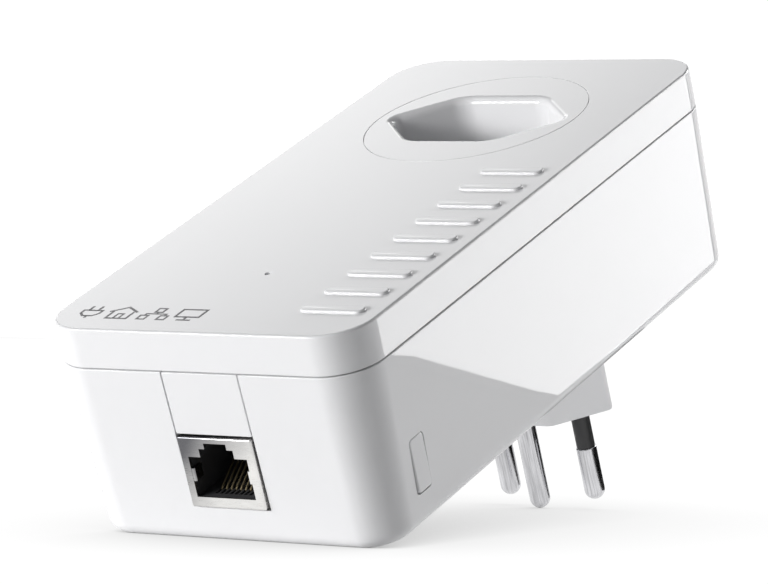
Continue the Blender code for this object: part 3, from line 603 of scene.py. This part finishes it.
def make_ribs():
    """Plain raised bars along the right of the front face."""
    rings = [(0.0, DEPTH - 0.2)]
    rings += [(aside, DEPTH + RIB_HEIGHT - down) for aside, down in round_over(0.35, 5)]
    ribs = []
    for i in range(RIBS):
        y = RIB_Y0 + i * RIB_PITCH
        ribs.append(loft([at_z(rounded_rect(RIB_X - RIB_LENGTH / 2 + d, RIB_X + RIB_LENGTH / 2 - d,
                                            y - RIB_WIDTH / 2 + d, y + RIB_WIDTH / 2 - d,
                                            RIB_WIDTH / 2 - d, 8), z) for d, z in rings]))
    dress(mesh_object("cover_ribs", joined(*ribs)), cover_white)


def make_filler():
    """The blank panel between the jack and the seam."""
    z0, z1 = shield_high.z + 0.35, HOUSING_TOP
    half = SLOT_HALF - 0.2

    def section(out, grow):
        corners = rounded_rect(-half - grow, half + grow, z0 - grow, z1 + grow, 0.2 + grow, 3)
        return [(x, surface_y(z) - out, z) for x, z in corners]

    rings = [section(-1.9, 0.0)] + [section(-down, -aside) for aside, down in round_over(0.16, 4)]
    dress(mesh_object("port_blank", loft(rings)), case_white, nodes=["port_filler"])


def make_screws():
    """Steel screws with a six-lobed recess, at the bottom of their wells."""
    head = ((2.35, 0.4), (2.6, 0.5), (2.7, 0.75), (2.7, 2.3))
    shank = ((1.45, 2.3), (1.45, 17.0), (0.5, 18.5))
    for i, (x, y) in enumerate(SCREWS, 1):
        screw = mesh_object(f"screw_{i}", turned(head + shank, 32, x, y))
        lobes = [(x + r * math.cos(a), y + r * math.sin(a))
                 for a, r in ((math.pi * k / 24, 1.15 + 0.22 * math.cos(math.pi * k / 4)) for k in range(48))]
        carve(screw, prism(lobes, -1, 1.6))
        dress(screw, steel, nodes=[f"case_screw_{i}"])


# ---------------------------------------------------------------- socket and plug
def poles():
    return {"line": (-POLE_X, SOCKET_Y), "neutral": (POLE_X, SOCKET_Y), "earth": (0.0, EARTH_Y)}


def make_socket_insert():
    """The round disc in the front face, with the well for a plug and a hole for each of its pins."""
    disc = [(SOCKET_R + 0.1, DEPTH - 2.2), (SOCKET_R + 0.1, DEPTH - 0.2), (SOCKET_R, DEPTH - 0.2)]
    disc += [(SOCKET_R - inward, DEPTH - down) for inward, down in round_over(0.1, 4)]
    insert = mesh_object("socket_face", turned(disc, 144, 0, SOCKET_Y))
    wall = [(1.8, WELL_FLOOR - 1.6), (2.6, DEPTH - 1.5)]
    carve(insert, loft([at_z(hexagon(WELL, d, 2.6), z) for d, z in wall]), "UNION")
    flare_out, rim_r, rim_h = 1.2, 1.5, 1.6  # how far the walls lean out, and the rim's oval round
    rings = [(0.0, WELL_FLOOR)]
    rings += [(flare_out + rim_r * aside, DEPTH - rim_h * down) for aside, down in round_over(1, 12)]
    rings.append((flare_out + rim_r, DEPTH + 1))
    carve(insert, loft([at_z(hexagon(WELL, d, 1.0 + d, 5.0 + d), z) for d, z in rings]))
    bore, lead_in = 2.4, 0.7
    hole = [(bore, WELL_FLOOR - 3)]
    hole += [(bore + aside, WELL_FLOOR + 0.1 - down) for aside, down in round_over(lead_in, 5)]
    hole.append((bore + lead_in, WELL_FLOOR + 2))
    carve(insert, joined(*[turned(hole, 40, x, y) for x, y in poles().values()]))
    dress(insert, cover_white, nodes=["socket_insert"], smooth=30)


def make_plug():
    """The plug's base, its three pins, and the sleeves on the two live ones."""
    rings = [(-aside, PLUG_FACE + up) for up, aside in round_over(0.45, 5)] + [(0.0, 3.0)]
    plug = mesh_object("plug_base", loft([at_z(hexagon(PLUG, d, 1.2 + d, 3.0 + d), z) for d, z in rings]))
    carve(plug, prism(hexagon(PLUG, 2.0, 2.5), WALL + GAP, 4.4), "UNION")
    bores = []
    for name, (x, y) in poles().items():
        bore = (PIN_R if name == "earth" else SLEEVE_R) + 0.15
        bores.append(turned(((bore, -30), (bore, 10)), 36, x, y))
    carve(plug, joined(*bores))
    dress(plug, plug_white, nodes=["plug_body"])
    root, bead, core = 6.7, 0.12, 1.2  # where a pin ends inside, its edge at the sleeve, and its radius in it
    for name, (x, y) in poles().items():
        profile = [(max(PIN_R - inward, 0.05), PIN_TIP + up) for up, inward in round_over(PIN_R, 10)]
        if name == "earth":
            profile.append((PIN_R, root))
        else:
            step = SHOULDER_Z - 0.1
            profile += [(PIN_R, step - bead), (PIN_R - bead, step), (core, step), (core, root)]
            sleeve = ((SLEEVE_R - 0.05, SHOULDER_Z), (SLEEVE_R, SHOULDER_Z + 0.08), (SLEEVE_R, 3.4),
                      (core + 0.2, 3.4), (core + 0.2, SHOULDER_Z))
            sleeve = loft([at_z(circle(r, 36, x, y), z) for r, z in sleeve], ring_shaped=True)
            dress(mesh_object(f"{name}_insulation", sleeve), sleeve_black, nodes=[f"{name}_sleeve"])
        dress(mesh_object(f"{name}_prong", turned(profile, 36, x, y)), nickel, nodes=[f"{name}_pin"])


# ---------------------------------------------------------------- network jack
# The right half of the jack's stepped opening: x from its middle, and z. Then an earthing spring's outline
# seen from above: distances inwards from the opening's side, and back from the jack's face.
OPENING = ((6.2, 9.5), (6.2, 17.2), (3.6, 17.2), (3.6, 18.8), (2.35, 18.8), (2.35, 19.9))
SPRING = ((0, 0.06), (0.6, 0.06), (0.75, 0.3), (0.55, 2.6), (0.35, 2.6), (0.45, 0.45), (0, 0.36))


def jack_opening(grow=0.0):
    """The stepped opening for a plug and its latch, as (x, z)."""
    right = [(JACK_X + x + grow, z + (grow if i else -grow)) for i, (x, z) in enumerate(OPENING)]
    left = [(2 * JACK_X - x, z) for x, z in right]
    return right + left[::-1]


def along_y(points, y0, y1):
    return loft([[(x, y, z) for x, z in points] for y in (y0, y1)])


def make_jack():
    """The network jack: a shield with a stepped opening, a plastic insert, and eight sprung contacts."""
    face, sheet = JACK_FACE, 0.4
    shield = mesh_object("jack_can", box(shield_low, shield_high, 0.42, 4))
    carve(shield, box((shield_low.x + sheet, face + sheet, 5),
                      (shield_high.x - sheet, shield_high.y - sheet, shield_high.z - sheet)))
    carve(shield, along_y(jack_opening(), face - 2, face + 2))
    for side in (-1, 1):
        leaf = [(JACK_X + side * (6.35 - inward), face + back) for inward, back in SPRING]
        carve(shield, prism(leaf, 12.5, 14.9), "UNION")
    dress(shield, tin_plate, nodes=["jack_shield"], smooth=30)
    inside = 0.65  # from the shield's outside to the insert's
    core = box((shield_low.x + inside, face + inside, shield_low.z + 0.3),
               (shield_high.x - inside, shield_high.y - inside, shield_high.z - inside), 0.15, 2)
    insert = mesh_object("jack_core", core)
    carve(insert, along_y(jack_opening(0.15), face - 2, face + 14))
    columns = [JACK_X + (i - (CONTACTS - 1) / 2) * CONTACT_PITCH for i in range(CONTACTS)]
    slit = 0.33  # half the width of each contact's slit
    carve(insert, joined(*[box((x - slit, face + 2.0, 8.5), (x + slit, face + 14.6, 9.55)) for x in columns]))
    dress(insert, jack_black, nodes=["jack_insert"])
    bend_y, bend_z, bend_r = face + 4.3, 9.35, 0.4
    path = [(bend_y + 10.1, bend_z - bend_r), (bend_y, bend_z - bend_r)]
    path += [(bend_y - bend_r * math.sin(a), bend_z - bend_r * math.cos(a)) for a in quarter(4)[1:]]
    path += [(bend_y, bend_z + bend_r), (bend_y + 4.5, 12.4), (bend_y + 9.3, 14.8)]
    for i, x in enumerate(columns, 1):
        wire = mesh_object(f"jack_wire_{i}", tube([(x, y, z) for y, z in path], 0.2))
        dress(wire, gold, nodes=[f"jack_contact_{i}"])


# ---------------------------------------------------------------- button
def make_button():
    """The cap, with the flange that keeps it in the case and the stem that meets the switch."""
    section = side_section(BUTTON_HALF_Y, BUTTON_HALF_Z, BUTTON_R)
    high, most = BUTTON_Z + BUTTON_HALF_Z, 0.35

    def proud(out, grow):
        """The cap's outer face stands out more towards its lower end, by most at its edge."""
        return [(x + most * (high - z) / (2 * BUTTON_HALF_Z), y, z) for x, y, z in section(out, grow)]

    rings = [section(-3.6, 0.0)] + [proud(-down, -aside) for aside, down in round_over(0.3, 5)]
    button = mesh_object("button_cap", loft(rings))
    outline = side_section(3.0, 5.2, 1.5)(0, 0)
    flange = loft([[(button_low.x + x, y, z) for _, y, z in outline] for x in (4.5, 5.8)])
    carve(button, flange, "UNION")
    stem = turn_to(turned(((1.3, 0), (1.5, 0.2), (1.5, 6.0)), 24), (1, 0, 0),
                   (button_low.x, BUTTON_Y, BUTTON_Z - 1.0))
    carve(button, stem, "UNION")
    dress(button, case_white, body="button", nodes=["side_button"])


# ---------------------------------------------------------------- printed mark
def stroke(points, width, closed=False):
    """A flat line of ink through points on the front face."""
    points = [Vector(point) for point in points]
    count = len(points)
    left, right = [], []
    for i, here in enumerate(points):
        before = here - points[i - 1] if i or closed else None
        after = points[(i + 1) % count] - here if i < count - 1 or closed else None
        ways = [way.normalized() for way in (before, after) if way is not None]
        along = sum(ways, Vector((0, 0))).normalized()
        across = Vector((-along.y, along.x))
        reach = width / 2 / max(across.dot(Vector((-ways[0].y, ways[0].x))), 0.4)
        left.append(here + across * reach)
        right.append(here - across * reach)
    z0, z1 = DEPTH - 0.01, DEPTH + 0.015  # just through the surface
    rings = [[(a.x, a.y, z0), (a.x, a.y, z1), (b.x, b.y, z1), (b.x, b.y, z0)] for a, b in zip(left, right)]
    return loft(rings, ring_shaped=closed)


def square(x, y, half=0.8):
    return ((x - half, y - half), (x + half, y - half), (x + half, y + half), (x - half, y + half))


MARK_Y, WIDE, THIN = 7.3, 0.5, 0.45
PICTOGRAMS = (  # the x of each one's middle, and its strokes: width, if closed, and points from the middle
    (-25.7, (  # a plug
        (WIDE, True, ((-2.0, 0.7), (2.0, 0.7), (2.0, -0.5), (1.0, -1.6), (-1.0, -1.6), (-2.0, -0.5))),
        (WIDE, False, ((-1.0, 0.7), (-1.0, 2.4))),
        (WIDE, False, ((1.0, 0.7), (1.0, 2.4))),
        (WIDE, False, ((0, -1.6), (0, -2.5))),
    )),
    (-19.0, (  # a house
        (WIDE, False, ((-3.0, 0.4), (0, 2.4), (3.0, 0.4))),
        (WIDE, False, ((-2.2, 0.6), (-2.2, -2.3), (2.2, -2.3), (2.2, 0.6))),
        (THIN, False, ((-0.6, -2.3), (-0.6, -0.4), (0.6, -0.4), (0.6, -2.3))),
    )),
    (-11.6, (  # a network
        (THIN, True, square(0, 1.5)),
        (THIN, True, square(-2.1, -1.5)),
        (THIN, True, square(2.1, -1.5)),
        (THIN, False, ((0, 0.7), (0, -0.1))),
        (THIN, False, ((-2.1, -0.7), (-2.1, 0), (2.1, 0), (2.1, -0.7))),
    )),
    (-4.6, (  # a screen
        (WIDE, True, ((-2.5, -0.9), (2.5, -0.9), (2.5, 2.2), (-2.5, 2.2))),
        (WIDE, False, ((0, -0.9), (0, -2.1))),
        (WIDE, False, ((-1.5, -2.2), (1.5, -2.2))),
    )),
)


def make_mark():
    """Generic pictograms in a row, in ink."""
    strokes = [stroke([(middle + x, MARK_Y + y) for x, y in points], width, closed)
               for middle, parts in PICTOGRAMS for width, closed, points in parts]
    dress(mesh_object("printed_mark", joined(*strokes)), ink)


def make_plate():
    low, high = extent("rating_plate")
    outline = rounded_rect(low.x, high.x, low.y, high.y, 1.6, 6)
    plate = mesh_object("blank_plate", prism(outline, low.z, high.z))
    dress(plate, label, nodes=["rating_plate"])


# ---------------------------------------------------------------- CAD nodes that stay
KEPT = {
    "board_screw_1": steel, "board_screw_2": steel, "socket_shutter": grey, "shutter_spring": steel,
    "contact_carrier": grey, "line_contact": brass, "neutral_contact": brass, "earth_contact": brass,
    "switch_body": black, "switch_plunger": grey, "status_led": clear, "light_pipe": clear,
    "main_board": board_green, "pulse_transformer": black, "processor": black, "heat_sink": aluminium,
    "memory_chip": black, "coupling_transformer": ferrite, "rectifier": black,
    "suppression_capacitor": tape, "bulk_capacitor": black, "output_capacitor": black,
    "transformer_core": ferrite, "transformer_winding": tape, "common_mode_choke": copper,
    "fuse": clear, "varistor": ceramic,
}


def dress_kept_nodes():
    for node, finish in KEPT.items():
        for place in frame["nodes"][node].material_slots:
            place.material = finish


# ---------------------------------------------------------------- floor, light and camera
def empty_tree(owner, output):
    """The node tree of a material or world, with only an output in it."""
    owner.use_nodes = True
    owner.node_tree.nodes.clear()
    return owner.node_tree, owner.node_tree.nodes.new(output)


def make_floor():
    """A floor that glows white, dimmed near the adapter. The camera and reflections see the glow. All other
    light bounces off it as from white paper."""
    bm = bmesh.new()
    bmesh.ops.create_grid(bm, x_segments=1, y_segments=1, size=0.7)
    floor = mesh_object("floor", bm)
    made = bpy.data.materials.new("floor")
    tree, output = empty_tree(made, "ShaderNodeOutputMaterial")
    near = tree.nodes.new("ShaderNodeAmbientOcclusion")
    near.inputs["Distance"].default_value = 0.12
    near.samples = 24
    softer, strength = math_node(tree, "POWER", 0.26), math_node(tree, "MULTIPLY", 1.06)
    seen, bounce = tree.nodes.new("ShaderNodeEmission"), tree.nodes.new("ShaderNodeBsdfDiffuse")
    bounce.inputs["Color"].default_value = (0.85, 0.85, 0.85, 1)
    pick, path = tree.nodes.new("ShaderNodeMixShader"), tree.nodes.new("ShaderNodeLightPath")
    either = math_node(tree, "ADD")
    link = tree.links.new
    link(near.outputs["AO"], softer.inputs[0])
    link(softer.outputs[0], strength.inputs[0])
    link(strength.outputs[0], seen.inputs["Strength"])
    link(path.outputs["Is Glossy Ray"], either.inputs[0])
    link(path.outputs["Is Camera Ray"], either.inputs[1])
    link(either.outputs[0], pick.inputs[0])
    link(bounce.outputs[0], pick.inputs[1])
    link(seen.outputs[0], pick.inputs[2])
    link(pick.outputs[0], output.inputs["Surface"])
    floor.data.materials.append(made)


def make_world():
    """White behind the adapter, and a faint even fill."""
    world = bpy.data.worlds.new("studio")
    bpy.context.scene.world = world
    tree, output = empty_tree(world, "ShaderNodeOutputWorld")
    seen, fill = tree.nodes.new("ShaderNodeBackground"), tree.nodes.new("ShaderNodeBackground")
    seen.inputs["Color"].default_value = (1, 1, 1, 1)
    seen.inputs["Strength"].default_value = 1.1
    fill.inputs["Color"].default_value = (0.95, 0.97, 1.0, 1)
    fill.inputs["Strength"].default_value = 0.10
    pick, path = tree.nodes.new("ShaderNodeMixShader"), tree.nodes.new("ShaderNodeLightPath")
    tree.links.new(path.outputs["Is Camera Ray"], pick.inputs[0])
    tree.links.new(fill.outputs[0], pick.inputs[1])
    tree.links.new(seen.outputs[0], pick.inputs[2])
    tree.links.new(pick.outputs[0], output.inputs["Surface"])


MIDDLE = Vector((0, 0, 0.045))  # of the adapter as it lies, in metres like the rest of the stage


def direction(azimuth, elevation):
    """A unit vector: azimuth from +X towards +Y, elevation from level upwards, in degrees."""
    a, e = math.radians(azimuth), math.radians(elevation)
    return Vector((math.cos(a) * math.cos(e), math.sin(a) * math.cos(e), math.sin(e)))


def softbox(name, azimuth, elevation, distance, size, radiance, aim=MIDDLE):
    """A rectangular light, in a direction from aim and facing it."""
    way = direction(azimuth, elevation)
    lamp = bpy.data.lights.new(name, "AREA")
    lamp.shape, lamp.size, lamp.size_y = "RECTANGLE", size[0], size[1]
    lamp.energy = radiance * math.pi * size[0] * size[1]
    obj = bpy.data.objects.new(name, lamp)
    obj.location = aim + way * distance
    obj.rotation_mode = "QUATERNION"
    obj.rotation_quaternion = way.to_track_quat("Z", "Y")
    bpy.context.scene.collection.objects.link(obj)
    obj.visible_camera = False
    return obj


def card(name, corners, low, high, left=1.0):
    """A glowing card whose corners go round from its lower left. The glow runs from low at its bottom to
    high at its top, and it is dimmed to a share of that, left, over the left third."""
    bm = bmesh.new()
    face = bm.faces.new([bm.verts.new(corner) for corner in corners])
    layer = bm.loops.layers.uv.new("place")
    for loop, place in zip(face.loops, ((0, 0), (1, 0), (1, 1), (0, 1))):
        loop[layer].uv = place
    mesh = bpy.data.meshes.new(name)
    bm.to_mesh(mesh)
    bm.free()
    obj = bpy.data.objects.new(name, mesh)
    bpy.context.scene.collection.objects.link(obj)
    made = bpy.data.materials.new(name)
    tree, output = empty_tree(made, "ShaderNodeOutputMaterial")
    glow, both = tree.nodes.new("ShaderNodeEmission"), math_node(tree, "MULTIPLY")
    place, split = tree.nodes.new("ShaderNodeUVMap"), tree.nodes.new("ShaderNodeSeparateXYZ")
    place.uv_map = "place"
    link = tree.links.new
    link(place.outputs["UV"], split.inputs[0])
    link(spread(tree, split.outputs["Y"], low, high, 0.0, 1.0), both.inputs[0])
    dim_until, full_from = 0.35, 0.62
    link(spread(tree, split.outputs["X"], left, 1.0, dim_until, full_from), both.inputs[1])
    link(both.outputs[0], glow.inputs["Strength"])
    link(glow.outputs[0], output.inputs["Surface"])
    mesh.materials.append(made)
    obj.visible_camera = False
    return obj


def upright(start, end, height):
    """The corners of a card that stands on the floor, from start to end."""
    return [(*start, 0), (*end, 0), (*end, height), (*start, height)]


def in_the_sky(distance, first, last, low, high):
    """The corners of a card between two azimuths and two elevations, seen from the adapter's middle."""
    corners = ((first, low), (last, low), (last, high), (first, high))
    return [MIDDLE + direction(azimuth, elevation) * distance for azimuth, elevation in corners]


def light_link(light, name, pieces, state):
    """The light falls only on these pieces (INCLUDE), or on all but them (EXCLUDE)."""
    receivers = bpy.data.collections.new(name)
    for piece in pieces:
        receivers.objects.link(bpy.data.objects[piece])
    for entry in receivers.collection_objects:
        entry.light_linking.link_state = state
    light.light_linking.receiver_collection = receivers


def make_lights():
    """Softboxes light the ends and the side. The cards are mostly there to be reflected in the white case.
    The flag is a dark card that only reflections see: it gives the pins their dark edge."""
    softbox("left_box", -128, 5.5, 1.1, (0.75, 0.3), 19.5)
    softbox("side_box", 68, 30, 1.1, (0.7, 0.5), 5.5)
    softbox("right_box", 45, 20, 1.1, (0.5, 0.3), 2.8)
    wall = card("right_card", upright((0.315, 0.359), (0.09, 0.187), 0.22), 4.7, 4.7)
    card("top_card", in_the_sky(1.3, 112, 150, 27, 44), 4.1, 0.0, 0.8)
    card("backdrop_card", in_the_sky(1.4, 165, 72, -2, 20), 0.8, 0.8)
    flag = card("flag", upright((0.032, 0.052), (0.006, 0.085), 0.03), 0.0, 0.0)
    flag.visible_diffuse = flag.visible_shadow = flag.visible_transmission = False
    fill = softbox("plug_fill", -48, -1, 0.5, (0.3, 0.06), 16.0, aim=Vector((0, 0.035, 0.035)))
    pins = ("line_prong", "neutral_prong", "earth_prong")
    light_link(fill, "lit_by_plug_fill", ("plug_base", *pins, "neutral_insulation"), "INCLUDE")
    light_link(wall, "not_lit_by_wall", pins, "EXCLUDE")


def make_camera():
    """Low at the right of the port end, looking down a little, with a long lens."""
    around, down, roll = math.radians(33.137), math.radians(1.411), math.radians(0.593)
    camera = bpy.data.cameras.new("camera")
    camera.sensor_width, camera.lens = 36.0, 203.1
    camera.clip_start, camera.clip_end = 0.05, 100
    obj = bpy.data.objects.new("camera", camera)
    obj.location = (0.43227, -0.66885, 0.06210)
    level = Matrix.Rotation(around, 4, "Z") @ Matrix.Rotation(math.pi / 2 - down, 4, "X")
    obj.rotation_mode = "QUATERNION"
    obj.rotation_quaternion = (level @ Matrix.Rotation(roll, 4, "Z")).to_quaternion()
    bpy.context.scene.collection.objects.link(obj)
    bpy.context.scene.camera = obj


make_housing()
make_cover()
make_ribs()
make_filler()
make_screws()
make_socket_insert()
make_plug()
make_jack()
make_button()
make_mark()
make_plate()
dress_kept_nodes()
make_floor()
make_world()
make_lights()
make_camera()
bpy.context.scene.view_settings.view_transform = "Standard"
